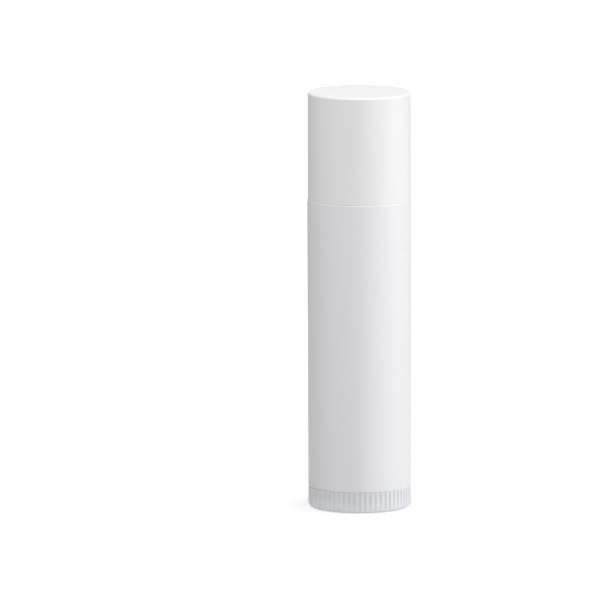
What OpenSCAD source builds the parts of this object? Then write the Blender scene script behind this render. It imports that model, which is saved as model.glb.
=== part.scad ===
// Twist-up lip balm stick: five moulded pieces, drawn closed and wound down.
// Z runs up the stick, and the origin is the middle of the face it stands on.

/* [Barrel] */
// Diameter of the bore that the balm slides in
bore_d = 13.5; // [11:0.1:16]
// Height of the barrel from its lower edge to the shoulder
body_h = 44.75; // [36:0.25:60]
// Height of the thin neck above the shoulder
neck_h = 10; // [7:0.5:14]
// Wall of the neck
neck_wall = 0.6; // [0.45:0.05:1.2]
// Height of the thicker band at the foot of the neck
band_h = 2.5; // [1.5:0.1:4]
// How far that band stands out of the neck
band_step = 0.05; // [0.03:0.01:0.08]
// How far the snap bead above the band stands out of the neck
bead_step = 0.1; // [0.09:0.01:0.16]
// Radius of the barrel's outer edge at the shoulder
shoulder_r = 0.25; // [0.1:0.05:0.4]

/* [Cap] */
// Wall of the cap's skirt at its mouth
cap_wall = 0.59; // [0.45:0.01:1.2]
// Thickness of the cap's closed end
cap_top_wall = 1; // [0.7:0.1:2]
// How much narrower the cap's closed end is than its mouth, each side
cap_draft = 0.1; // [0:0.05:0.2]
// Radius of the edge round the closed end
cap_edge_r = 0.4; // [0.2:0.05:0.6]

/* [Dial] */
// Visible height of the ribbed dial
dial_h = 3.3; // [2.8:0.1:6]
// How far the dial's rim lies inside the barrel's outline
dial_inset = 0.1; // [0:0.05:0.3]
// Number of grip grooves round the dial
groove_count = 60; // [30:1:72]
// Radius of one grip groove
groove_r = 0.22; // [0.12:0.01:0.26]
// Radius of the dial's lower edge
dial_edge_r = 0.8; // [0.4:0.1:1]
// Depth of the recess in the underside
recess_depth = 0.8; // [0.4:0.1:1]
// Diameter of the recess in the underside
recess_d = 11; // [8:0.5:11]
// Thickness of the dial's floor above the recess
floor_t = 1.6; // [1:0.1:2]
// Height of the plug that turns in the barrel's foot
plug_h = 6.7; // [5:0.1:9]
// Wall of that plug
plug_wall = 1.1; // [0.8:0.1:1.6]
// How far the plug's snap ring stands out
ring_step = 0.3; // [0.15:0.05:0.4]

/* [Screw] */
// Height that the thread climbs in one turn
lead = 5; // [4:0.5:8]
// Diameter of the spindle under the thread
core_d = 3.4; // [2.8:0.1:4.4]
// How far the thread stands out of the spindle
thread_step = 0.6; // [0.4:0.05:0.8]
// Width of the thread where it leaves the spindle
thread_root_w = 1.5; // [1.2:0.1:1.8]
// Width of the thread's flat crest
thread_crest_w = 0.7; // [0.4:0.1:1]

/* [Elevator] */
// Thickness of the platform under the balm
platform_t = 1.2; // [0.8:0.1:2]
// Height of the cup wall that grips the balm
cup_h = 5; // [3:0.5:7]
// Thickness of that wall
cup_wall = 0.8; // [0.7:0.05:1.2]
// Length of the threaded hub below the platform
hub_h = 4.3; // [3:0.1:5]
// Wall of the hub outside its thread
hub_wall = 1; // [0.8:0.1:1.5]
// Thickness of the webs between hub and platform
web_t = 0.7; // [0.5:0.1:1.2]
// Distance from the cup's rim to the neck's rim when fully wound up
cup_stop = 1.5; // [1:0.5:4]

/* [Balm] */
// Height of the balm's tip above the neck when wound down
balm_proud = 5.4; // [3:0.1:9]
// Radius of the balm's upper edge
balm_edge_r = 0.6; // [0.3:0.1:1.2]

/* [Guide ribs] */
// Number of ribs in the bore that stop the elevator turning
rib_count = 4; // [2:1:6]
// Radius of one rib
rib_r = 0.4; // [0.25:0.05:0.5]

/* [Clearances] */
// Gap between the dial's rim and the barrel's lower edge
dial_gap = 0.15; // [0.1:0.05:0.3]
// Gap all round the plug in the barrel's foot
plug_fit = 0.08; // [0.05:0.01:0.1]
// Gap all round the elevator and the balm in the bore
slide_fit = 0.1; // [0.08:0.01:0.2]
// Gap between the thread and the hub
thread_fit = 0.15; // [0.12:0.01:0.25]
// Gap between the balm and the cup that grips it
balm_fit = 0.08; // [0.05:0.01:0.2]
// Gap all round a guide rib
rib_fit = 0.12; // [0.1:0.01:0.2]
// Gap between the cap and the snap bead
cap_fit = 0.06; // [0.05:0.01:0.15]
// Gap at the seam between cap and shoulder
seam_gap = 0.1; // [0.05:0.05:0.2]
// Gap between the balm's tip and the cap's ceiling
tip_gap = 0.4; // [0.3:0.1:1]
// Gap between the plug and the elevator at rest
rest_gap = 0.5; // [0.4:0.1:1]

/* [Hidden] */
$fn = 96;

white = [0.94, 0.94, 0.95];
natural = [0.86, 0.88, 0.90];
cream = [0.88, 0.82, 0.52];

// How far a cutting or joining shape runs past the face it meets
past = 0.3;
// Small break on an edge that would otherwise be sharp
edge_break = 0.12;
// Height of the snap bead and its groove, and of the snap ring on the plug
bead_w = 0.5;
ring_w = 0.9;
// Segments in one turn of the thread, and those over which it runs out
turn_sides = 20;
run_out = 4;

bore_r = bore_d / 2;
neck_r = bore_r + neck_wall;
band_r = neck_r + band_step;
bead_r = neck_r + bead_step;
cap_bore_r = bead_r + cap_fit;
barrel_r = cap_bore_r + cap_wall;
dial_r = barrel_r - dial_inset;

barrel_z = dial_h + dial_gap;
shoulder_z = barrel_z + body_h;
bead_z = shoulder_z + band_h;
rim_z = shoulder_z + neck_h;
tip_z = rim_z + balm_proud;
ceiling_z = tip_z + tip_gap;
cap_z = shoulder_z + seam_gap;
cap_top_z = ceiling_z + cap_top_wall;

plug_r = bore_r - plug_fit;
plug_top_z = dial_h + plug_h;
floor_z = recess_depth + floor_t;
ring_z = (barrel_z + plug_top_z) / 2;

core_r = core_d / 2;
crest_r = core_r + thread_step;
platform_z = plug_top_z + rest_gap;
balm_z = platform_z + platform_t;
cup_rim_z = balm_z + cup_h;
rise = rim_z - cup_stop - cup_rim_z;
spindle_top_z = platform_z + rise;
thread_start_z = floor_z + 1.5 * thread_root_w;

slide_r = bore_r - slide_fit;
cup_inner_r = slide_r - cup_wall;
hub_r = crest_r + thread_fit + hub_wall;
hub_z = platform_z - hub_h;
balm_bore_r = crest_r + thread_fit;
rib_z = plug_top_z + rest_gap / 2;
rib_top_z = rim_z - cup_stop / 2;
rib_tip_h = 2 * rib_r;
rib_phase = 180 / rib_count;

echo(rise_mm = rise, turns = rise / lead, barrel_d = 2 * barrel_r, height = cap_top_z);

// Takes the corner off a profile at the given point, with the arc's centre on
// the side of the point that dx and dy give
module corner_cut(at, r, dx, dy) {
    translate([at[0] + dx * r, at[1] + dy * r])
        difference() {
            translate([dx > 0 ? -r - past : 0, dy > 0 ? -r - past : 0])
                square(r + past);
            circle(r, $fn = 48);
        }
}

// A flat profile for a ring between two radii and two heights
module ring_profile(r1, r2, z1, z2) {
    translate([r1, z1])
        square([r2 - r1, z2 - z1]);
}

// The low bulge of a snap bead, a stated height across and step out of a wall
module bead_profile(wall_r, step, z, w) {
    polygon([
        [wall_r - past, z - w],
        [wall_r, z - w / 2],
        [wall_r + step, z - w / 6],
        [wall_r + step, z + w / 6],
        [wall_r, z + w / 2],
        [wall_r - past, z + w]
    ]);
}

// Places its child at each guide rib of the bore
module at_ribs() {
    for (i = [0:rib_count - 1])
        rotate([0, 0, rib_phase + i * 360 / rib_count])
            translate([bore_r, 0, 0])
                children();
}

// The points of the thread's outline at step i of the helix, which falls to the
// left as it climbs: the two foot points lie inside the spindle
function thread_ring(i, step, grow) =
    let (angle = -360 * i / turn_sides, z = i * lead / turn_sides)
    [for (p = [
        [core_r - past, -thread_root_w / 2 - grow],
        [core_r + step + grow, -thread_crest_w / 2 - grow],
        [core_r + step + grow, thread_crest_w / 2 + grow],
        [core_r - past, thread_root_w / 2 + grow]
    ]) [p[0] * cos(angle), p[0] * sin(angle), z + p[1]]];

// A helical ridge between two heights, grown by a clearance where it is to be
// cut from the hub, and run out at both ends where it is not
module thread_ridge(z1, z2, grow, fade) {
    first = ceil(z1 * turn_sides / lead);
    last = floor(z2 * turn_sides / lead);
    rings = last - first;
    function step_at(k) = thread_step * (fade ? min(1, (k + 0.5) / run_out, (rings - k + 0.5) / run_out) : 1);
    points = [for (k = [0:rings]) each thread_ring(first + k, step_at(k), grow)];
    walls = [for (k = [0:rings - 1], s = [0:3])
        [4 * k + s, 4 * k + 4 + s, 4 * k + 4 + (s + 1) % 4, 4 * k + (s + 1) % 4]];
    polyhedron(points, concat([[0, 1, 2, 3]], walls, [[for (s = [3:-1:0]) 4 * rings + s]]), convexity = 20);
}

module barrel_profile() {
    difference() {
        union() {
            ring_profile(bore_r, barrel_r, barrel_z, shoulder_z);
            ring_profile(bore_r, neck_r, shoulder_z - past, rim_z);
            ring_profile(bore_r, band_r, shoulder_z - past, bead_z);
            intersection() {
                bead_profile(neck_r, bead_step, bead_z, bead_w);
                ring_profile(bore_r, barrel_r, shoulder_z, rim_z);
            }
        }
        corner_cut([barrel_r, shoulder_z], shoulder_r, -1, -1);
        corner_cut([barrel_r, barrel_z], edge_break, -1, 1);
        corner_cut([neck_r, rim_z], neck_wall / 4, -1, -1);
        corner_cut([bore_r, rim_z], neck_wall / 4, 1, -1);
        // Groove that the plug's snap ring runs in
        ring_profile(bore_r - past, bore_r + ring_step, ring_z - ring_w / 2 - plug_fit, ring_z + ring_w / 2 + plug_fit);
        // Lead-in for the plug
        polygon([
            [bore_r - past, barrel_z - past],
            [bore_r + 2 * past, barrel_z - past],
            [bore_r - past, barrel_z + 2 * past]
        ]);
    }
}

module guide_rib() {
    translate([0, 0, rib_z])
        cylinder(r = rib_r, h = rib_top_z - rib_tip_h - rib_z, $fn = 24);
    translate([0, 0, rib_top_z - rib_tip_h])
        cylinder(r1 = rib_r, r2 = rib_r / 4, h = rib_tip_h, $fn = 24);
}

module barrel() {
    color(white) {
        rotate_extrude()
            barrel_profile();
        at_ribs()
            guide_rib();
    }
}

module cap_profile() {
    difference() {
        polygon([
            [0, cap_z],
            [barrel_r, cap_z],
            [barrel_r - cap_draft, cap_top_z],
            [0, cap_top_z]
        ]);
        corner_cut([barrel_r, cap_z], edge_break, -1, 1);
        corner_cut([barrel_r - cap_draft, cap_top_z], cap_edge_r, -1, -1);
        difference() {
            ring_profile(0, cap_bore_r, cap_z - past, ceiling_z);
            corner_cut([cap_bore_r, ceiling_z], cap_edge_r, -1, -1);
        }
        // Groove that snaps over the bead, and the lead-in at the mouth
        bead_profile(cap_bore_r, bead_step, bead_z, bead_w);
        corner_cut([cap_bore_r, cap_z], edge_break, 1, 1);
    }
}

module cap() {
    color(white)
        rotate_extrude()
            cap_profile();
}

module dial_profile() {
    difference() {
        union() {
            ring_profile(0, dial_r, 0, dial_h);
            ring_profile(plug_r - plug_wall, plug_r, floor_z, plug_top_z);
            bead_profile(plug_r, ring_step, ring_z, ring_w);
        }
        ring_profile(0, recess_d / 2, -past, recess_depth);
        ring_profile(0, plug_r - plug_wall, floor_z, plug_top_z + past);
        corner_cut([dial_r, 0], dial_edge_r, -1, 1);
        corner_cut([dial_r, dial_h], edge_break, -1, -1);
        corner_cut([plug_r, plug_top_z], plug_wall / 3, -1, -1);
    }
}

module spindle_profile() {
    foot_r = thread_step;
    difference() {
        union() {
            ring_profile(0, core_r, floor_z - past, spindle_top_z);
            ring_profile(0, core_r + foot_r, floor_z - past, floor_z + foot_r);
        }
        translate([core_r + foot_r, floor_z + foot_r])
            circle(foot_r, $fn = 48);
        corner_cut([core_r, spindle_top_z], thread_step, -1, -1);
    }
}

module dial_screw() {
    color(natural) {
        difference() {
            rotate_extrude()
                dial_profile();
            for (i = [0:groove_count - 1])
                rotate([0, 0, i * 360 / groove_count])
                    translate([dial_r, 0, -past])
                        cylinder(r = groove_r, h = dial_h + 2 * past, $fn = 24);
        }
        rotate_extrude()
            spindle_profile();
        thread_ridge(thread_start_z, spindle_top_z - thread_root_w, 0, true);
    }
}

module elevator_profile() {
    difference() {
        union() {
            ring_profile(core_r + thread_fit, slide_r, platform_z, balm_z);
            ring_profile(cup_inner_r, slide_r, platform_z, cup_rim_z);
            ring_profile(core_r + thread_fit, hub_r, hub_z, balm_z);
        }
        corner_cut([slide_r, platform_z], cup_wall / 2, -1, 1);
        corner_cut([slide_r, cup_rim_z], cup_wall / 4, -1, -1);
    }
}

module hub_webs() {
    web_h = hub_h * 0.7;
    for (i = [0:rib_count - 1])
        rotate([90, 0, i * 360 / rib_count])
            translate([0, 0, -web_t / 2])
                linear_extrude(web_t)
                    polygon([
                        [hub_r - past, platform_z + past],
                        [hub_r - past, platform_z - web_h],
                        [hub_r, platform_z - web_h],
                        [hub_r + hub_wall, platform_z],
                        [hub_r + hub_wall, platform_z + past]
                    ]);
}

module elevator() {
    color(natural)
        difference() {
            union() {
                rotate_extrude()
                    elevator_profile();
                hub_webs();
            }
            thread_ridge(hub_z - lead / 2, balm_z + lead / 2, thread_fit, false);
            at_ribs()
                translate([0, 0, platform_z - past])
                    cylinder(r = rib_r + rib_fit, h = cup_rim_z - platform_z + 2 * past, $fn = 24);
        }
}

module balm_profile() {
    difference() {
        union() {
            ring_profile(balm_bore_r, cup_inner_r - balm_fit, balm_z, cup_rim_z + balm_fit);
            ring_profile(0, slide_r, cup_rim_z + balm_fit, tip_z);
        }
        ring_profile(-past, balm_bore_r, balm_z - past, spindle_top_z + tip_gap);
        corner_cut([slide_r, tip_z], balm_edge_r, -1, -1);
    }
}

module balm() {
    color(cream)
        difference() {
            rotate_extrude()
                balm_profile();
            at_ribs()
                translate([0, 0, balm_z - past])
                    cylinder(r = rib_r + rib_fit, h = rib_top_z + rib_fit - balm_z + past, $fn = 24);
        }
}

barrel();
dial_screw();
elevator();
balm();
cap();
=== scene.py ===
"""The finished look of a twist-up lip balm stick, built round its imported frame.

Each piece of the stick is a class that turns its own mesh on the stick's axis,
dresses it in its own finish and sets it on the body that carries it. Heights and
radii that neighbours share are read from the frame. Everything is in metres.
"""

import logging
import math
from dataclasses import dataclass, replace
from enum import Enum

import bmesh
import bpy
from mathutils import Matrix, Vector


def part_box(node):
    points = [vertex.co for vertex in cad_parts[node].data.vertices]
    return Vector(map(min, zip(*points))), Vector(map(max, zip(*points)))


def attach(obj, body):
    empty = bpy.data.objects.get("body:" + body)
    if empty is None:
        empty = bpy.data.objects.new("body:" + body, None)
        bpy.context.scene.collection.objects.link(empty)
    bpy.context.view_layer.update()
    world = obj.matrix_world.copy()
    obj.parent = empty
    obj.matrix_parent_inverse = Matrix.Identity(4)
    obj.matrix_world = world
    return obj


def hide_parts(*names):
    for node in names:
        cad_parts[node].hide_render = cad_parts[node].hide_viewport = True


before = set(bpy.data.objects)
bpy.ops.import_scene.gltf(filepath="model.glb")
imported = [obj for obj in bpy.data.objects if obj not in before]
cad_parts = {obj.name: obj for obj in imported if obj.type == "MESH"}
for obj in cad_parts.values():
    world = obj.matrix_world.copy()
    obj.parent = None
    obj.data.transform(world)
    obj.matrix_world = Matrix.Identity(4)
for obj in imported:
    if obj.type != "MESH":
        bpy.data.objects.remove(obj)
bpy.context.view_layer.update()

LOG = logging.getLogger("lip_balm_stick")

MM_PER_METRE = 1000
TURN = math.tau
TURNING_STEPS = 192
CORNER_SEGMENTS = 5
MERGE_DISTANCE = 1e-7
CREASE_ANGLE = math.radians(40)

FLOW_STRETCH = 0.22
FINE_DETAIL = 3.0
COARSE_DETAIL = 2.0
GRAIN_GLOSS = 0.3

Colour = tuple[float, float, float]


# Finishes


class Sheen(Enum):
    """How glossy a moulded or poured surface comes out, as a Principled roughness."""

    POLISHED = 0.22
    SMOOTH = 0.27
    SATIN = 0.36
    MATT = 0.5
    WAXY = 0.42


def new_group(name: str, inputs: dict[str, float], outputs: list[str]) -> bpy.types.NodeTree:
    """Makes an empty shader node group with named sockets.

    Args:
        name: The group's name.
        inputs: The name and default of each number input, after a Coordinate input.
        outputs: The name of each number output.

    Returns:
        The group, holding its input and output nodes.
    """
    group = bpy.data.node_groups.new(name, "ShaderNodeTree")
    group.interface.new_socket("Coordinate", in_out="INPUT", socket_type="NodeSocketVector")
    for label, default in inputs.items():
        socket = group.interface.new_socket(label, in_out="INPUT", socket_type="NodeSocketFloat")
        socket.default_value = default
    for label in outputs:
        group.interface.new_socket(label, in_out="OUTPUT", socket_type="NodeSocketFloat")
    group.nodes.new("NodeGroupInput").name = "In"
    group.nodes.new("NodeGroupOutput").name = "Out"
    return group


def math_node(tree: bpy.types.NodeTree, operation: str, *values: object) -> bpy.types.NodeSocket:
    """Adds a Math node and feeds its inputs from sockets or plain numbers.

    Args:
        tree: The node tree that gets the node.
        operation: The Math node's operation.
        values: A socket or a number for each input, in order.

    Returns:
        The node's output socket.
    """
    node = tree.nodes.new("ShaderNodeMath")
    node.operation = operation
    for index, value in enumerate(values):
        if isinstance(value, bpy.types.NodeSocket):
            tree.links.new(value, node.inputs[index])
        else:
            node.inputs[index].default_value = value
    return node.outputs[0]


def noise_node(
    tree: bpy.types.NodeTree,
    coordinate: bpy.types.NodeSocket,
    scale: float | bpy.types.NodeSocket,
    detail: float,
) -> bpy.types.NodeSocket:
    """Adds a Noise Texture node.

    Args:
        tree: The node tree that gets the node.
        coordinate: The socket that gives the place on the surface.
        scale: Lumps in a metre, as a number or a socket.
        detail: How many finer layers the noise has.

    Returns:
        The node's value, from 0 to 1.
    """
    node = tree.nodes.new("ShaderNodeTexNoise")
    node.inputs["Detail"].default_value = detail
    tree.links.new(coordinate, node.inputs["Vector"])
    if isinstance(scale, bpy.types.NodeSocket):
        tree.links.new(scale, node.inputs["Scale"])
    else:
        node.inputs["Scale"].default_value = scale
    return node.outputs["Fac"]


def moulded_skin_group() -> bpy.types.NodeTree:
    """Makes the skin of injection moulded plastic: fine spark grain over long, faint flow waves.

    Returns:
        A group with Height, Tone and Gloss outputs, each from 0 to 1.
    """
    group = new_group(
        "moulded_skin",
        {"Grain Scale": 6000.0, "Flow Scale": 90.0, "Grain Share": 0.15},
        ["Height", "Tone", "Gloss"],
    )
    source, sink = group.nodes["In"], group.nodes["Out"]
    stretch = group.nodes.new("ShaderNodeMapping")
    stretch.inputs["Scale"].default_value = (1.0, 1.0, FLOW_STRETCH)
    group.links.new(source.outputs["Coordinate"], stretch.inputs["Vector"])
    grain = noise_node(group, source.outputs["Coordinate"], source.outputs["Grain Scale"], FINE_DETAIL)
    flow = noise_node(group, stretch.outputs["Vector"], source.outputs["Flow Scale"], COARSE_DETAIL)
    grain_part = math_node(group, "MULTIPLY", grain, source.outputs["Grain Share"])
    flow_share = math_node(group, "SUBTRACT", 1.0, source.outputs["Grain Share"])
    flow_part = math_node(group, "MULTIPLY", flow, flow_share)
    group.links.new(math_node(group, "ADD", grain_part, flow_part), sink.inputs["Height"])
    group.links.new(flow, sink.inputs["Tone"])
    grain_gloss = math_node(group, "MULTIPLY", grain, GRAIN_GLOSS)
    gloss = math_node(group, "MULTIPLY_ADD", flow, 1 - GRAIN_GLOSS, grain_gloss)
    group.links.new(gloss, sink.inputs["Gloss"])
    return group


@dataclass(frozen=True)
class MouldedFinish:
    """A moulded polypropylene, from opaque white to the natural, slightly see-through kind."""

    name: str
    colour: Colour
    shade: Colour
    sheen: Sheen
    grain_scale: float = 6000.0
    bump_height: float = 1.5e-6
    gloss_spread: float = 0.08
    refraction: float = 1.49
    glow_depth: float = 0.0
    glow_share: float = 0.0
    glow_radius: Colour = (1.0, 0.95, 0.9)

    def material(self, skin: bpy.types.NodeTree) -> bpy.types.Material:
        """Builds the material.

        Args:
            skin: The moulded skin group.

        Returns:
            The finished material.
        """
        material = bpy.data.materials.new(self.name)
        material.use_nodes = True
        tree = material.node_tree
        shader = tree.nodes["Principled BSDF"]
        shader.inputs["IOR"].default_value = self.refraction
        shader.inputs["Subsurface Weight"].default_value = self.glow_share
        shader.inputs["Subsurface Radius"].default_value = self.glow_radius
        shader.inputs["Subsurface Scale"].default_value = self.glow_depth
        place = tree.nodes.new("ShaderNodeTexCoord")
        surface = tree.nodes.new("ShaderNodeGroup")
        surface.node_tree = skin
        surface.inputs["Grain Scale"].default_value = self.grain_scale
        tree.links.new(place.outputs["Object"], surface.inputs["Coordinate"])
        tint = tree.nodes.new("ShaderNodeMix")
        tint.data_type = "RGBA"
        tint.inputs["A"].default_value = (*self.shade, 1.0)
        tint.inputs["B"].default_value = (*self.colour, 1.0)
        tree.links.new(surface.outputs["Tone"], tint.inputs["Factor"])
        tree.links.new(tint.outputs["Result"], shader.inputs["Base Color"])
        smoothest = self.sheen.value - self.gloss_spread / 2
        rough = math_node(tree, "MULTIPLY_ADD", surface.outputs["Gloss"], self.gloss_spread, smoothest)
        tree.links.new(rough, shader.inputs["Roughness"])
        bump = tree.nodes.new("ShaderNodeBump")
        bump.inputs["Strength"].default_value = 1.0
        bump.inputs["Distance"].default_value = self.bump_height
        tree.links.new(surface.outputs["Height"], bump.inputs["Height"])
        tree.links.new(bump.outputs["Normal"], shader.inputs["Normal"])
        return material


@dataclass(frozen=True)
class TubeFinish(MouldedFinish):
    """The tube's plastic, with painted light on its neck: a warm tint that stands in for the balm's glow
    seen through the thin wall.
    """

    # Painted light: the warm tint that stands in for the balm's glow through the neck.
    neck_painted_glow_colour: Colour = (0.872, 0.832, 0.785)
    neck_height: float = 0.0
    neck_fade: float = 0.4e-3

    def material(self, skin: bpy.types.NodeTree) -> bpy.types.Material:
        """Builds the material.

        Args:
            skin: The moulded skin group.

        Returns:
            The finished material.
        """
        material = super().material(skin)
        tree = material.node_tree
        colour = tree.nodes["Principled BSDF"].inputs["Base Color"]
        plain = colour.links[0].from_socket
        place = tree.nodes.new("ShaderNodeTexCoord")
        axes = tree.nodes.new("ShaderNodeSeparateXYZ")
        tree.links.new(place.outputs["Object"], axes.inputs["Vector"])
        # Painted light: above the shoulder the neck's colour turns warm, standing in for the balm's glow
        # through the wall.
        reach = tree.nodes.new("ShaderNodeMapRange")
        reach.inputs["From Min"].default_value = self.neck_height
        reach.inputs["From Max"].default_value = self.neck_height + self.neck_fade
        tree.links.new(axes.outputs["Z"], reach.inputs["Value"])
        painted_neck_glow = tree.nodes.new("ShaderNodeMix")
        painted_neck_glow.data_type = "RGBA"
        painted_neck_glow.inputs["B"].default_value = (*self.neck_painted_glow_colour, 1.0)
        tree.links.new(reach.outputs["Result"], painted_neck_glow.inputs["Factor"])
        tree.links.new(plain, painted_neck_glow.inputs["A"])
        tree.links.new(painted_neck_glow.outputs["Result"], colour)
        return material


@dataclass(frozen=True)
class WaxFinish:
    """Poured, slightly see-through balm with soft clouding and fine pouring ripples."""

    name: str
    colour: Colour
    deep_colour: Colour
    pale_colour: Colour
    sheen: Sheen
    cloud_scale: float = 110.0
    ripple_scale: float = 900.0
    deep_below: float = 0.3
    plain_at: float = 0.5
    pale_above: float = 0.75
    bump_height: float = 1.2e-5
    gloss_spread: float = 0.14
    refraction: float = 1.44
    glow_depth: float = 3e-3
    glow_share: float = 0.9
    glow_radius: Colour = (1.0, 0.8, 0.35)

    def material(self) -> bpy.types.Material:
        """Builds the material.

        Returns:
            The finished material.
        """
        material = bpy.data.materials.new(self.name)
        material.use_nodes = True
        tree = material.node_tree
        shader = tree.nodes["Principled BSDF"]
        shader.inputs["IOR"].default_value = self.refraction
        shader.inputs["Subsurface Weight"].default_value = self.glow_share
        shader.inputs["Subsurface Radius"].default_value = self.glow_radius
        shader.inputs["Subsurface Scale"].default_value = self.glow_depth
        place = tree.nodes.new("ShaderNodeTexCoord")
        clouds = noise_node(tree, place.outputs["Object"], self.cloud_scale, FINE_DETAIL)
        ripples = noise_node(tree, place.outputs["Object"], self.ripple_scale, COARSE_DETAIL)
        ramp = tree.nodes.new("ShaderNodeValToRGB")
        ramp.color_ramp.elements[0].position = self.deep_below
        ramp.color_ramp.elements[0].color = (*self.deep_colour, 1.0)
        ramp.color_ramp.elements[1].position = self.pale_above
        ramp.color_ramp.elements[1].color = (*self.pale_colour, 1.0)
        middle = ramp.color_ramp.elements.new(self.plain_at)
        middle.color = (*self.colour, 1.0)
        tree.links.new(clouds, ramp.inputs["Fac"])
        tree.links.new(ramp.outputs["Color"], shader.inputs["Base Color"])
        smoothest = self.sheen.value - self.gloss_spread / 2
        rough = math_node(tree, "MULTIPLY_ADD", ripples, self.gloss_spread, smoothest)
        tree.links.new(rough, shader.inputs["Roughness"])
        bump = tree.nodes.new("ShaderNodeBump")
        bump.inputs["Strength"].default_value = 1.0
        bump.inputs["Distance"].default_value = self.bump_height
        tree.links.new(ripples, bump.inputs["Height"])
        tree.links.new(bump.outputs["Normal"], shader.inputs["Normal"])
        return material


BARREL_PLASTIC = TubeFinish(
    "barrel_plastic",
    colour=(0.856, 0.86, 0.876),
    shade=(0.84, 0.844, 0.86),
    sheen=Sheen.SMOOTH,
)
CAP_PLASTIC = MouldedFinish(
    "cap_plastic",
    colour=(0.876, 0.878, 0.888),
    shade=(0.862, 0.864, 0.874),
    sheen=Sheen.POLISHED,
)
DIAL_PLASTIC = MouldedFinish(
    "dial_plastic",
    colour=(0.81, 0.823, 0.847),
    shade=(0.78, 0.795, 0.823),
    sheen=Sheen.SATIN,
    glow_depth=0.3e-3,
    glow_share=0.2,
)
ELEVATOR_PLASTIC = MouldedFinish(
    "elevator_plastic",
    colour=(0.80, 0.815, 0.83),
    shade=(0.77, 0.785, 0.80),
    sheen=Sheen.MATT,
    glow_depth=1.2e-3,
    glow_share=0.3,
)
BALM_WAX = WaxFinish(
    "balm_wax",
    colour=(0.84, 0.76, 0.34),
    deep_colour=(0.82, 0.725, 0.28),
    pale_colour=(0.86, 0.80, 0.42),
    sheen=Sheen.WAXY,
)


# Turned shapes


@dataclass(frozen=True)
class Corner:
    """One corner of a turned outline: its radius from the axis, its height and how far it is rounded."""

    radius: float
    height: float
    rounding: float = 0.0


def turned(outline: list[Corner], steps: int = TURNING_STEPS, ring: bool = False) -> bmesh.types.BMesh:
    """Rounds an outline's corners and turns it once about the stick's axis.

    Args:
        outline: The corners in order, from the axis round to the axis, or once round a ring.
        steps: How many flats the full turn is cut into.
        ring: Whether the last corner joins the first, for a shape with a hole through it.

    Returns:
        A closed shell whose faces point outwards.
    """
    shell = bmesh.new()
    corners = [shell.verts.new((corner.radius, 0.0, corner.height)) for corner in outline]
    ends = corners[1:] + corners[:1] if ring else corners[1:]
    for start, end in zip(corners, ends):
        shell.edges.new((start, end))
    for vertex, corner in zip(corners, outline):
        if corner.rounding:
            bmesh.ops.bevel(
                shell,
                geom=[vertex],
                offset=corner.rounding,
                offset_type="OFFSET",
                segments=CORNER_SEGMENTS,
                profile=0.5,
                affect="VERTICES",
                material=-1,
            )
    bmesh.ops.spin(
        shell,
        geom=shell.verts[:] + shell.edges[:],
        cent=(0.0, 0.0, 0.0),
        axis=(0.0, 0.0, 1.0),
        angle=TURN,
        steps=steps,
        use_merge=True,
    )
    bmesh.ops.remove_doubles(shell, verts=shell.verts[:], dist=MERGE_DISTANCE)
    bmesh.ops.recalc_face_normals(shell, faces=shell.faces[:])
    return shell


def bead(wall: float, step: float, height: float, width: float) -> list[Corner]:
    """Draws a low rounded ring on a wall, from its lower edge to its upper one.

    Args:
        wall: The wall's radius.
        step: How far the ring stands out, or in where it is negative.
        height: The height of the ring's middle.
        width: The ring's width on the wall.

    Returns:
        Four corners, in rising order.
    """
    crest = width / 3
    rounding = crest / 4
    return [
        Corner(wall, height - width / 2, rounding),
        Corner(wall + step, height - crest / 2, rounding),
        Corner(wall + step, height + crest / 2, rounding),
        Corner(wall, height + width / 2, rounding),
    ]


def take_in(shell: bmesh.types.BMesh, other: bmesh.types.BMesh) -> None:
    """Adds another shell's faces to a shell of the same piece.

    Args:
        shell: The mesh that gets the faces.
        other: The mesh that is added. It is freed here.
    """
    carrier = bpy.data.meshes.new("carrier")
    other.to_mesh(carrier)
    other.free()
    shell.from_mesh(carrier)
    bpy.data.meshes.remove(carrier)


def set_piece(
    shell: bmesh.types.BMesh, name: str, material: bpy.types.Material, body: str, node: str
) -> bpy.types.Object:
    """Turns a finished shell into a piece of the stick.

    Args:
        shell: The mesh, in its place on the stick. It is freed here.
        name: The piece's name.
        material: Its finish.
        body: The body that it rides on.
        node: The node of the frame that it stands for.

    Returns:
        The piece's object.
    """
    mesh = bpy.data.meshes.new(name)
    shell.to_mesh(mesh)
    shell.free()
    mesh.shade_smooth()
    mesh.set_sharp_from_angle(angle=CREASE_ANGLE)
    mesh.materials.append(material)
    piece = bpy.data.objects.new(name, mesh)
    bpy.context.scene.collection.objects.link(piece)
    evened = piece.modifiers.new("even_normals", "WEIGHTED_NORMAL")
    evened.keep_sharp = True
    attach(piece, body)
    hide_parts(node)
    return piece


@dataclass(frozen=True)
class Datums:
    """Heights and radii that neighbouring pieces share, read from the frame's boxes."""

    barrel_radius: float
    barrel_foot: float
    barrel_rim: float
    spindle_top: float
    slide_radius: float
    balm_base: float
    balm_tip: float
    cap_mouth: float
    cap_top: float

    @classmethod
    def from_frame(cls) -> "Datums":
        """Reads the boxes of the barrel, dial, balm and cap nodes.

        Returns:
            The stick's shared heights and radii.
        """
        barrel_low, barrel_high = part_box("barrel")
        spindle_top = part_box("dial_screw")[1].z
        balm_low, balm_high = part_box("balm")
        cap_low, cap_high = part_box("cap")
        return cls(
            barrel_radius=min(barrel_high.x, barrel_high.y),
            barrel_foot=barrel_low.z,
            barrel_rim=barrel_high.z,
            spindle_top=spindle_top,
            slide_radius=balm_high.x,
            balm_base=balm_low.z,
            balm_tip=balm_high.z,
            cap_mouth=cap_low.z,
            cap_top=cap_high.z,
        )


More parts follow.
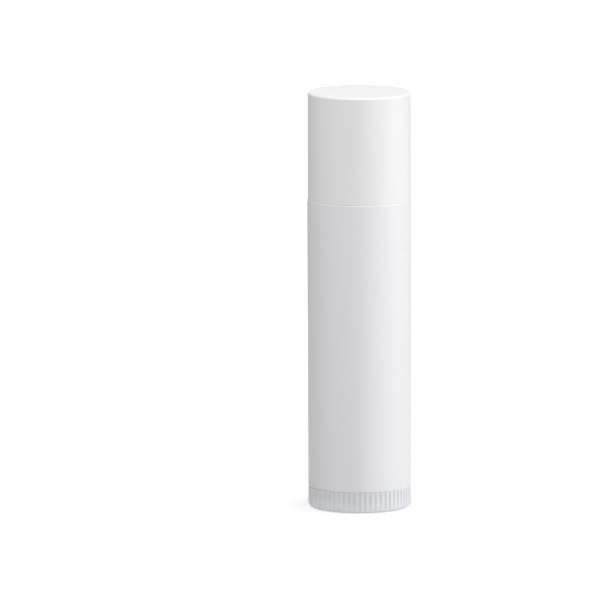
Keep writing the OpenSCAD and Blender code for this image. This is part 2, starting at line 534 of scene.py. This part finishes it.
@dataclass
class Barrel:
    """The outer tube with its thin neck, snap bead and guide ribs."""

    datums: Datums
    neck_wall: float = 0.6e-3
    band_height: float = 2.5e-3
    band_step: float = 0.05e-3
    bead_step: float = 0.1e-3
    bead_width: float = 0.5e-3
    draft: float = 0.1e-3
    seam_gap: float = 0.015e-3
    foot_drop: float = 0.12e-3
    shoulder_rounding: float = 0.2e-3
    edge_break: float = 0.03e-3
    inner_break: float = 0.015e-3
    rim_rounding: float = 0.15e-3
    slide_gap: float = 0.1e-3
    ring_groove: float = 0.3e-3
    ring_low: float = 6.195e-3
    ring_high: float = 7.255e-3
    lead_in: float = 0.3e-3
    rib_radius: float = 0.4e-3
    rib_sides: int = 20
    rib_count: int = 4
    rib_foot: float = 10.25e-3
    rib_drop: float = 0.75e-3
    rib_head: float = 0.8e-3
    rib_tip: float = 0.25

    @property
    def bore(self) -> float:
        """The bore's radius, a running gap outside the balm."""
        return self.datums.slide_radius + self.slide_gap

    @property
    def neck(self) -> float:
        """The neck's outer radius."""
        return self.bore + self.neck_wall

    @property
    def shoulder(self) -> float:
        """The shoulder's height, just under the cap's mouth."""
        return self.datums.cap_mouth - self.seam_gap

    def outline(self) -> list[Corner]:
        """Draws the tube's wall, once round, from the foot up the outside and down the bore.

        Returns:
            The corners of a ring.
        """
        datums = self.datums
        bead_height = self.shoulder + self.band_height
        lower, *bulge = bead(self.neck, self.bead_step, bead_height, self.bead_width)
        band = self.neck + self.band_step
        foot = datums.barrel_foot - self.foot_drop
        return [
            Corner(self.bore + self.lead_in, foot, self.inner_break),
            Corner(datums.barrel_radius - self.draft, foot, self.edge_break),
            Corner(datums.barrel_radius, self.shoulder, self.shoulder_rounding),
            Corner(band, self.shoulder, self.inner_break),
            Corner(band, lower.height),
            *bulge,
            Corner(self.neck, datums.barrel_rim, self.rim_rounding),
            Corner(self.bore, datums.barrel_rim, self.rim_rounding),
            Corner(self.bore, self.ring_high),
            Corner(self.bore + self.ring_groove, self.ring_high),
            Corner(self.bore + self.ring_groove, self.ring_low),
            Corner(self.bore, self.ring_low),
            Corner(self.bore, datums.barrel_foot + self.lead_in),
        ]

    def add_guide_rib(self, shell: bmesh.types.BMesh, angle: float) -> None:
        """Adds one round rib with a tapered head to the bore.

        Args:
            shell: The mesh that gets the rib.
            angle: Where the rib stands, about the axis.
        """
        shaft_top = self.datums.barrel_rim - self.rib_drop - self.rib_head
        rib = bmesh.ops.create_cone(
            shell,
            cap_ends=True,
            segments=self.rib_sides,
            radius1=self.rib_radius,
            radius2=self.rib_radius,
            depth=shaft_top - self.rib_foot,
        )["verts"]
        around = {face for vertex in rib for face in vertex.link_faces}
        lid = [face for face in around if all(vertex.co.z > 0 for vertex in face.verts)]
        grown = bmesh.ops.extrude_face_region(shell, geom=lid)["geom"]
        tip = [part for part in grown if isinstance(part, bmesh.types.BMVert)]
        bmesh.ops.delete(shell, geom=lid, context="FACES_ONLY")
        bmesh.ops.scale(shell, verts=tip, vec=(self.rib_tip, self.rib_tip, 1.0))
        bmesh.ops.translate(shell, verts=tip, vec=(0.0, 0.0, self.rib_head))
        middle = (self.rib_foot + shaft_top) / 2
        place = (self.bore * math.cos(angle), self.bore * math.sin(angle), middle)
        bmesh.ops.translate(shell, verts=rib + tip, vec=place)

    def build(self, material: bpy.types.Material) -> bpy.types.Object:
        """Turns the tube, adds its ribs and sets it on the barrel's body.

        Args:
            material: The barrel's finish.

        Returns:
            The tube's object.
        """
        shell = turned(self.outline(), ring=True)
        for index in range(self.rib_count):
            self.add_guide_rib(shell, TURN * (index + 0.5) / self.rib_count)
        return set_piece(shell, "barrel_tube", material, "barrel", "barrel")


@dataclass
class Cap:
    """The pull-off cap, with its snap groove and slightly drawn-in closed end."""

    datums: Datums
    bore: float = 7.51e-3
    ceiling_drop: float = 1e-3
    draft: float = 0.1e-3
    mouth_inset: float = 0.08e-3
    edge_rounding: float = 0.3e-3
    edge_break: float = 0.01e-3
    groove_step: float = 0.1e-3
    groove_rise: float = 2.4e-3
    groove_width: float = 0.5e-3

    def outline(self) -> list[Corner]:
        """Draws the cap's wall, from the ceiling's middle down the bore and up the outside.

        Returns:
            The corners, from the axis to the axis.
        """
        datums = self.datums
        ceiling = datums.cap_top - self.ceiling_drop
        groove_height = datums.cap_mouth + self.groove_rise
        groove = bead(self.bore, self.groove_step, groove_height, self.groove_width)
        return [
            Corner(0.0, ceiling),
            Corner(self.bore, ceiling, self.edge_rounding),
            *reversed(groove),
            Corner(self.bore, datums.cap_mouth, self.edge_break),
            Corner(datums.barrel_radius - self.mouth_inset, datums.cap_mouth, self.edge_break),
            Corner(datums.barrel_radius - self.draft, datums.cap_top, self.edge_rounding),
            Corner(0.0, datums.cap_top),
        ]

    def build(self, material: bpy.types.Material) -> bpy.types.Object:
        """Turns the cap and sets it on the cap's body.

        Args:
            material: The cap's finish.

        Returns:
            The cap's object.
        """
        shell = turned(self.outline())
        return set_piece(shell, "cap_shell", material, "cap", "cap")


@dataclass
class DialScrew:
    """The ribbed dial with its hollow plug and threaded spindle, in one moulding."""

    datums: Datums
    dial_height: float = 3.3e-3
    lower_rounding: float = 0.8e-3
    edge_break: float = 0.08e-3
    inset: float = 0.13e-3
    groove_count: int = 60
    groove_width: float = 0.34e-3
    groove_depth: float = 0.24e-3
    groove_fade: float = 0.5e-3
    steps_per_pitch: int = 14
    steps_in_groove: int = 8
    recess_radius: float = 5.5e-3
    recess_depth: float = 0.8e-3
    floor_height: float = 2.4e-3
    plug_radius: float = 6.67e-3
    plug_wall: float = 1.1e-3
    plug_top: float = 10e-3
    ring_height: float = 6.725e-3
    ring_width: float = 0.9e-3
    ring_step: float = 0.3e-3
    core: float = 1.7e-3
    thread_step: float = 0.6e-3
    thread_foot_width: float = 1.5e-3
    thread_crest_width: float = 0.7e-3
    thread_start: float = 5e-3
    lead: float = 5e-3
    run_out: float = 0.625e-3
    least_thread: float = 0.1
    steps_per_turn: int = 40

    @property
    def radius(self) -> float:
        """The dial's radius over its ribs, just inside the barrel's outline."""
        return self.datums.barrel_radius - self.inset

    def rim_outline(self) -> list[Corner]:
        """Draws the grip rim, once round, whose inner side lies inside the floor and the plug's wall.

        Returns:
            The corners of a ring.
        """
        buried = self.plug_radius - self.plug_wall / 2
        step = (self.recess_depth + self.floor_height) / 2
        return [
            Corner(self.recess_radius, 0.0, self.edge_break),
            Corner(self.radius, 0.0, self.lower_rounding),
            Corner(self.radius, self.dial_height - self.groove_fade),
            Corner(self.radius, self.dial_height, self.edge_break),
            Corner(buried, self.dial_height),
            Corner(buried, step),
            Corner(self.recess_radius, step),
        ]

    def core_outline(self) -> list[Corner]:
        """Draws the floor, plug and spindle, from the recess's middle round to the spindle's top.

        Returns:
            The corners, from the axis to the axis.
        """
        inner = self.plug_radius - self.plug_wall
        return [
            Corner(0.0, self.recess_depth),
            Corner(self.plug_radius, self.recess_depth),
            *bead(self.plug_radius, self.ring_step, self.ring_height, self.ring_width),
            Corner(self.plug_radius, self.plug_top, self.plug_wall / 3),
            Corner(inner, self.plug_top, self.edge_break),
            Corner(inner, self.floor_height, self.edge_break),
            Corner(self.core, self.floor_height, self.thread_step),
            Corner(self.core, self.datums.spindle_top, self.thread_step),
            Corner(0.0, self.datums.spindle_top),
        ]

    def cut_grip(self, shell: bmesh.types.BMesh) -> None:
        """Presses the grip grooves into the dial's rim, and lets them run out at both its edges.

        Args:
            shell: The turned rim.
        """
        pitch = TURN / self.groove_count
        half_groove = self.groove_width / 2 / self.radius
        gathered = self.steps_in_groove / self.steps_per_pitch
        for vertex in shell.verts:
            radius = math.hypot(vertex.co.x, vertex.co.y)
            angle = math.atan2(vertex.co.y, vertex.co.x)
            turn = (angle + pitch / 2) % pitch - pitch / 2
            share = abs(turn) / (pitch / 2)
            if share < gathered:
                moved = half_groove * share / gathered
            else:
                moved = pitch / 2 - (pitch / 2 - half_groove) * (1 - share) / (1 - gathered)
            across = min(moved / half_groove, 1.0)
            depth = self.groove_depth * min((self.dial_height - vertex.co.z) / self.groove_fade, 1.0)
            radius = min(radius, self.radius - depth * math.sqrt(1 - across**2))
            angle += math.copysign(moved, turn) - turn
            vertex.co.x = radius * math.cos(angle)
            vertex.co.y = radius * math.sin(angle)

    def thread(self) -> bmesh.types.BMesh:
        """Winds the thread's ridge up the spindle, to the left, and runs it out at both ends.

        Returns:
            The ridge as a closed shell whose foot lies inside the spindle.
        """
        ridge = bmesh.new()
        foot = self.core - self.thread_step / 2
        crest = self.core + self.thread_step
        section = [
            (foot, -self.thread_foot_width / 2),
            (crest, -self.thread_crest_width / 2),
            (crest, self.thread_crest_width / 2),
            (foot, self.thread_foot_width / 2),
        ]
        corners = [ridge.verts.new((radius, 0.0, self.thread_start + height)) for radius, height in section]
        start = ridge.faces.new(corners)
        climb = self.datums.spindle_top - self.thread_foot_width - self.thread_start
        turns = climb / self.lead
        steps = round(turns * self.steps_per_turn)
        bmesh.ops.spin(
            ridge,
            geom=[start, *start.edges, *start.verts],
            cent=(0.0, 0.0, 0.0),
            axis=(0.0, 0.0, 1.0),
            dvec=(0.0, 0.0, climb / steps),
            angle=-TURN * turns,
            steps=steps,
        )
        for vertex in ridge.verts:
            radius = math.hypot(vertex.co.x, vertex.co.y)
            depth = min(vertex.co.z - self.thread_start, self.thread_start + climb - vertex.co.z)
            if radius > self.core and depth < self.run_out:
                share = max(depth / self.run_out, self.least_thread)
                faded = self.core + (radius - self.core) * share
                vertex.co.x *= faded / radius
                vertex.co.y *= faded / radius
        bmesh.ops.recalc_face_normals(ridge, faces=ridge.faces[:])
        return ridge

    def build(self, material: bpy.types.Material) -> bpy.types.Object:
        """Turns the moulding, grips it, winds its thread and sets it on the dial's body.

        Args:
            material: The dial's finish.

        Returns:
            The moulding's object.
        """
        shell = turned(self.rim_outline(), steps=self.groove_count * self.steps_per_pitch, ring=True)
        self.cut_grip(shell)
        take_in(shell, turned(self.core_outline()))
        take_in(shell, self.thread())
        return set_piece(shell, "dial_and_spindle", material, "dial", "dial_screw")


@dataclass
class Elevator:
    """The platform that climbs the thread, which keeps the frame's own mesh."""

    node: str = "elevator"

    def build(self, material: bpy.types.Material) -> bpy.types.Object:
        """Gives the frame's elevator its finish.

        Args:
            material: The elevator's finish.

        Returns:
            The frame's elevator.
        """
        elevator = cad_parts[self.node]
        elevator.data.materials.clear()
        elevator.data.materials.append(material)
        return elevator


@dataclass
class Balm:
    """The poured stick of balm, with a shallow dish at its tip and the tracks of the guide ribs."""

    datums: Datums
    cup_height: float = 5.08e-3
    cup_inset: float = 0.88e-3
    hole: float = 2.45e-3
    hole_clearance: float = 0.4e-3
    hole_rounding: float = 0.30625e-3
    foot_rounding: float = 0.15e-3
    step_rounding: float = 0.1e-3
    edge_rounding: float = 0.6e-3
    dish_depth: float = 0.18e-3
    dish_edge: float = 0.72
    dish_edge_drop: float = 0.2
    dish_edge_rounding: float = 1.5e-3
    dish_floor: float = 0.3
    dish_floor_rounding: float = 1e-3
    track_radius: float = 0.52e-3
    track_offset: float = 0.11e-3
    track_count: int = 4
    track_top: float = 57.57e-3
    turning_steps: int = 288

    def outline(self) -> list[Corner]:
        """Draws the balm, from the spindle hole's top down and round to the tip's middle.

        Returns:
            The corners, from the axis to the axis.
        """
        datums = self.datums
        hole_top = datums.spindle_top + self.hole_clearance
        step = datums.balm_base + self.cup_height
        foot = datums.slide_radius - self.cup_inset
        dish_height = datums.balm_tip - self.dish_depth
        dish_edge_height = datums.balm_tip - self.dish_depth * self.dish_edge_drop
        return [
            Corner(0.0, hole_top),
            Corner(self.hole, hole_top, self.hole_rounding),
            Corner(self.hole, datums.balm_base),
            Corner(foot, datums.balm_base, self.foot_rounding),
            Corner(foot, step),
            Corner(datums.slide_radius, step, self.step_rounding),
            Corner(datums.slide_radius, self.track_top - self.track_radius / 2),
            Corner(datums.slide_radius, self.track_top),
            Corner(datums.slide_radius, datums.balm_tip, self.edge_rounding),
            Corner(datums.slide_radius * self.dish_edge, dish_edge_height, self.dish_edge_rounding),
            Corner(datums.slide_radius * self.dish_floor, dish_height, self.dish_floor_rounding),
            Corner(0.0, dish_height),
        ]

    def press_tracks(self, shell: bmesh.types.BMesh) -> None:
        """Presses the guide ribs' tracks into the side.

        Args:
            shell: The turned balm.
        """
        centre = self.datums.slide_radius + self.track_offset
        for vertex in shell.verts:
            radius = math.hypot(vertex.co.x, vertex.co.y)
            if vertex.co.z >= self.track_top or radius < self.datums.slide_radius - self.track_radius:
                continue
            sector = TURN / self.track_count
            turn = math.atan2(vertex.co.y, vertex.co.x) % sector - sector / 2
            across = centre * math.sin(turn)
            if abs(across) < self.track_radius:
                limit = centre * math.cos(turn) - math.sqrt(self.track_radius**2 - across**2)
                if radius > limit:
                    vertex.co.x *= limit / radius
                    vertex.co.y *= limit / radius

    def build(self, material: bpy.types.Material) -> bpy.types.Object:
        """Turns the balm, presses its tracks and sets it on the elevator's body.

        Args:
            material: The balm's finish.

        Returns:
            The balm's object.
        """
        shell = turned(self.outline(), steps=self.turning_steps)
        self.press_tracks(shell)
        return set_piece(shell, "balm_stick", material, "elevator", "balm")


# Studio


class LampRole(Enum):
    """What a soft box is for, named by the side it stands on."""

    RIGHT = "right_box"
    LEFT = "left_box"
    FRONT = "front_box"
    TOP = "top_box"


def direction(azimuth: float, elevation: float) -> Vector:
    """The way from the stick to a lamp or camera.

    Args:
        azimuth: Degrees round the stick, 0 towards the photographer and 90 to the right.
        elevation: Degrees above the level.

    Returns:
        A vector of length one.
    """
    turn, rise = math.radians(azimuth), math.radians(elevation)
    return Vector((math.sin(turn) * math.cos(rise), -math.cos(turn) * math.cos(rise), math.sin(rise)))


@dataclass(frozen=True)
class SoftBox:
    """A soft box aimed at the stick's middle, which reflections show only where it is mirrored."""

    role: LampRole
    azimuth: float
    elevation: float
    distance: float
    width: float
    height: float
    power: float
    mirrored: bool = True

    def set_up(self, target: Vector) -> bpy.types.Object:
        """Places the lamp.

        Args:
            target: The point that the lamp faces.

        Returns:
            The lamp's object.
        """
        lamp = bpy.data.lights.new(self.role.value, "AREA")
        lamp.shape = "RECTANGLE"
        lamp.size = self.width
        lamp.size_y = self.height
        lamp.energy = self.power
        holder = bpy.data.objects.new(self.role.value, lamp)
        bpy.context.scene.collection.objects.link(holder)
        away = direction(self.azimuth, self.elevation)
        holder.location = target + away * self.distance
        holder.rotation_euler = away.to_track_quat("Z", "Y").to_euler()
        holder.visible_camera = False
        holder.visible_glossy = self.mirrored
        return holder


def shown_in_reflections(
    tree: bpy.types.NodeTree, rays: bpy.types.Node, brightness: float
) -> bpy.types.NodeSocket:
    """Works out how bright something looks in reflections and through clear pieces.

    Args:
        tree: The node tree that gets the nodes.
        rays: The tree's Light Path node.
        brightness: Its brightness there, where 1 is white.

    Returns:
        A socket with that brightness for such rays, and 0 for all others.
    """
    bounced = math_node(tree, "ADD", rays.outputs["Is Glossy Ray"], rays.outputs["Is Transmission Ray"])
    return math_node(tree, "MULTIPLY", bounced, brightness)


@dataclass
class Studio:
    """Camera, soft boxes, pale floor and white surround."""

    datums: Datums
    image_width: int = 600
    stick_pixels: float = 104.4
    stick_x: float = 359.4
    stick_y: float = 299.0
    elevation: float = 8.75
    roll: float = -0.1
    distance: float = 2.4
    sight: float = 20.0
    sensor: float = 0.036
    floor_half: float = 3.0
    floor_drop: float = 0.02e-3
    contact: float = 2.5e-3
    # Painted fill light: how strongly the floor glows for diffuse rays that come from within the contact
    # distance.
    contact_glow: float = 0.25
    floor_colour: Colour = (0.5, 0.5, 0.5)
    floor_roughness: float = 0.9
    floor_seen: float = 0.54
    shadow_near: float = 0.009
    shadow_far: float = 0.035
    floor_mirrored: float = 0.35
    sky_mirrored: float = 0.8
    ambient: float = 0.3
    boxes: tuple[SoftBox, ...] = (
        SoftBox(LampRole.RIGHT, 85.0, 20.0, 0.6, 0.2, 0.4, 2.1),
        SoftBox(LampRole.LEFT, -60.0, 65.0, 0.2, 0.08, 0.08, 0.08),
        SoftBox(LampRole.FRONT, 0.0, 28.0, 0.3, 0.05, 0.27, 0.3, mirrored=False),
        SoftBox(LampRole.TOP, 0.0, 88.0, 0.6, 0.3, 0.3, 0.9),
    )

    @property
    def metres_per_pixel(self) -> float:
        """The size of one pixel at the stick."""
        return 2 * self.datums.barrel_radius / self.stick_pixels

    def add_camera(self) -> None:
        """Adds a long-lens camera that frames the stick where the photograph has it."""
        middle = self.image_width / 2
        aside = (self.stick_x - middle) * self.metres_per_pixel
        above = (self.stick_y - middle) * self.metres_per_pixel
        away = direction(0.0, self.elevation)
        tilt = math.radians(self.elevation)
        upright = Vector((0.0, math.sin(tilt), math.cos(tilt)))
        target = Vector((-aside, 0.0, self.datums.cap_top / 2)) + upright * above
        lens = bpy.data.cameras.new("camera")
        lens.sensor_width = self.sensor * MM_PER_METRE
        lens.lens = lens.sensor_width * self.distance / (self.image_width * self.metres_per_pixel)
        lens.clip_end = self.sight
        camera = bpy.data.objects.new("camera", lens)
        bpy.context.scene.collection.objects.link(camera)
        camera.location = target + away * self.distance
        camera.rotation_euler = away.to_track_quat("Z", "Y").to_euler()
        camera.rotation_euler.rotate_axis("Z", math.radians(self.roll))
        bpy.context.scene.camera = camera

    def floor_paper(self) -> bpy.types.Material:
        """Builds the floor's material, which shows only its upper side.

        Near the stick the camera sees the shadow, and further off it clears to white. Close under
        the dial the floor glows as a painted fill light, so that the dial's foot isn't black.

        Returns:
            The finished material.
        """
        material = bpy.data.materials.new("floor_paper")
        material.use_nodes = True
        material.cycles.emission_sampling = "NONE"
        tree = material.node_tree
        shader = tree.nodes["Principled BSDF"]
        shader.inputs["Base Color"].default_value = (*self.floor_colour, 1.0)
        shader.inputs["Roughness"].default_value = self.floor_roughness
        shader.inputs["Emission Color"].default_value = (1.0, 1.0, 1.0, 1.0)
        place = tree.nodes.new("ShaderNodeTexCoord")
        away = tree.nodes.new("ShaderNodeVectorMath")
        away.operation = "LENGTH"
        tree.links.new(place.outputs["Object"], away.inputs[0])
        clearing = tree.nodes.new("ShaderNodeMapRange")
        clearing.inputs["From Min"].default_value = self.shadow_near
        clearing.inputs["From Max"].default_value = self.shadow_far
        clearing.inputs["To Min"].default_value = self.floor_seen
        clearing.inputs["To Max"].default_value = 1.0
        tree.links.new(away.outputs["Value"], clearing.inputs["Value"])
        rays = tree.nodes.new("ShaderNodeLightPath")
        mirrored = shown_in_reflections(tree, rays, self.floor_mirrored)
        white = clearing.outputs["Result"]
        seen = math_node(tree, "MULTIPLY_ADD", rays.outputs["Is Camera Ray"], white, mirrored)
        # Painted light: diffuse rays that reach the floor from close by get a glow, a painted fill under
        # the dial.
        close = math_node(tree, "LESS_THAN", rays.outputs["Ray Length"], self.contact)
        under = math_node(tree, "MULTIPLY", rays.outputs["Is Diffuse Ray"], close)
        glowing = math_node(tree, "MULTIPLY_ADD", under, self.contact_glow, seen)
        tree.links.new(glowing, shader.inputs["Emission Strength"])
        side = tree.nodes.new("ShaderNodeNewGeometry")
        clear = tree.nodes.new("ShaderNodeBsdfTransparent")
        either = tree.nodes.new("ShaderNodeMixShader")
        tree.links.new(side.outputs["Backfacing"], either.inputs["Fac"])
        tree.links.new(shader.outputs["BSDF"], either.inputs[1])
        tree.links.new(clear.outputs["BSDF"], either.inputs[2])
        tree.links.new(either.outputs["Shader"], tree.nodes["Material Output"].inputs["Surface"])
        return material

    def add_floor(self) -> None:
        """Adds the pale floor, a hair under the dial."""
        slab = bmesh.new()
        bmesh.ops.create_grid(slab, x_segments=1, y_segments=1, size=self.floor_half)
        bmesh.ops.translate(slab, verts=slab.verts[:], vec=(0.0, 0.0, -self.floor_drop))
        mesh = bpy.data.meshes.new("floor")
        slab.to_mesh(mesh)
        slab.free()
        mesh.materials.append(self.floor_paper())
        floor = bpy.data.objects.new("floor", mesh)
        bpy.context.scene.collection.objects.link(floor)

    def add_surround(self) -> None:
        """Makes the world white to the camera, a little darker in reflections and dim as a light."""
        world = bpy.data.worlds.new("surround")
        bpy.context.scene.world = world
        world.use_nodes = True
        tree = world.node_tree
        background = tree.nodes["Background"]
        background.inputs["Color"].default_value = (1.0, 1.0, 1.0, 1.0)
        rays = tree.nodes.new("ShaderNodeLightPath")
        mirrored = shown_in_reflections(tree, rays, self.sky_mirrored)
        soft = math_node(tree, "MULTIPLY_ADD", rays.outputs["Is Diffuse Ray"], self.ambient, mirrored)
        strength = math_node(tree, "ADD", rays.outputs["Is Camera Ray"], soft)
        tree.links.new(strength, background.inputs["Strength"])

    def build(self) -> None:
        """Sets up camera, lamps, floor and surround."""
        bpy.context.scene.view_settings.view_transform = "Standard"
        self.add_camera()
        target = Vector((0.0, 0.0, self.datums.cap_top / 2))
        for box in self.boxes:
            box.set_up(target)
        self.add_floor()
        self.add_surround()


def main() -> None:
    """Builds the studio and the stick's pieces, and reports each piece's face count."""
    logging.basicConfig(level=logging.INFO, format="%(name)s: %(message)s")
    datums = Datums.from_frame()
    skin = moulded_skin_group()
    tube_plastic = replace(BARREL_PLASTIC, neck_height=datums.cap_mouth)
    Studio(datums).build()
    pieces = [
        Barrel(datums).build(tube_plastic.material(skin)),
        DialScrew(datums).build(DIAL_PLASTIC.material(skin)),
        Elevator().build(ELEVATOR_PLASTIC.material(skin)),
        Balm(datums).build(BALM_WAX.material()),
        Cap(datums).build(CAP_PLASTIC.material(skin)),
    ]
    for piece in pieces:
        LOG.info("%s: %d faces", piece.name, len(piece.data.polygons))


if __name__ == "__main__":
    main()
